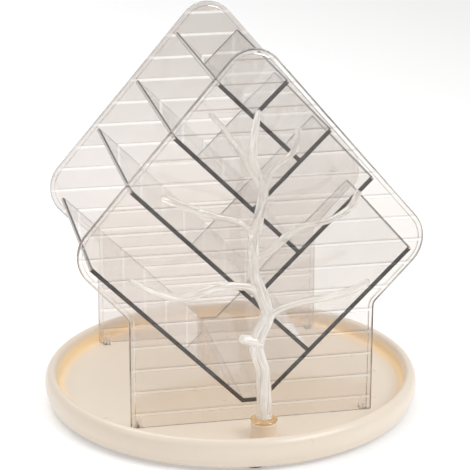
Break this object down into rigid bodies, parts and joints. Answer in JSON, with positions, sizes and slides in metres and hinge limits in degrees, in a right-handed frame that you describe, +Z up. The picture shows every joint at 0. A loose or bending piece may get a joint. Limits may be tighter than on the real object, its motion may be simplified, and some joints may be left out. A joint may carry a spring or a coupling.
{
  "type": "rotating makeup organizer",
  "caption": "Rotating organizer: round rimmed tray on a ball bearing base, a clear rack of slanted channels between two clear panels, and a clear branching jewellery tree in a socket.",
  "frame": {"origin": "on the tray's turning axis, at the height of the surface the feet stand on", "axes": "+Z up along the turning axis, front with the jewellery tree towards -Y, +X to the right seen from the front"},
  "size_m": [0.28, 0.28, 0.2852],
  "materials": {
    "cream_plastic": "satin",
    "base_plastic": "satin",
    "race_plastic": "satin",
    "cage_plastic": "satin",
    "steel": "polished",
    "foot_rubber": "matt",
    "clear_panel": "clear, polished",
    "clear_plate": "clear, polished",
    "clear_block": "clear, polished",
    "clear_tree": "clear, polished",
    "clear_collar": "amber tinted, clear"
  },
  "bodies": {
    "base": {"base_plate": "base_plastic", "foot_front": "foot_rubber", "foot_right": "foot_rubber", "foot_rear": "foot_rubber", "foot_left": "foot_rubber", "lower_race": "race_plastic"},
    "bearing": {"ball_cage": "cage_plastic", "bearing_balls": "steel"},
    "turntable": {"tray": "cream_plastic", "upper_race": "race_plastic", "retaining_washer": "steel", "retaining_screw": "steel", "tree_socket": "cream_plastic", "front_panel": "clear_panel", "rear_panel": "clear_panel", "v_trough": "clear_plate", "divider_left_low": "clear_plate", "divider_left_middle": "clear_plate", "divider_left_high": "clear_plate", "divider_right_low": "clear_plate", "divider_right_middle": "clear_plate", "divider_right_high": "clear_plate", "leg_block_front_left": "clear_block", "leg_block_front_right": "clear_block", "leg_block_rear_left": "clear_block", "leg_block_rear_right": "clear_block"},
    "tree": {"jewellery_tree": "clear_tree", "tree_collar": "clear_collar"}
  },
  "joints": [
    {"name": "tray_spin", "type": "hinge", "parent": "base", "child": "turntable", "pos_m": [0, 0, 0.0077], "axis": [0, 0, 1], "continuous": true},
    {"name": "bearing_spin", "type": "hinge", "parent": "base", "child": "bearing", "pos_m": [0, 0, 0.0077], "axis": [0, 0, 1], "continuous": true},
    {"name": "tree_lift", "type": "slide", "parent": "turntable", "child": "tree", "axis": [0, 0, 1], "range_m": [0, 0.04]}
  ],
  "couplings": [
    {"joint": "bearing_spin", "follows": "tray_spin", "ratio": 0.5}
  ]
}
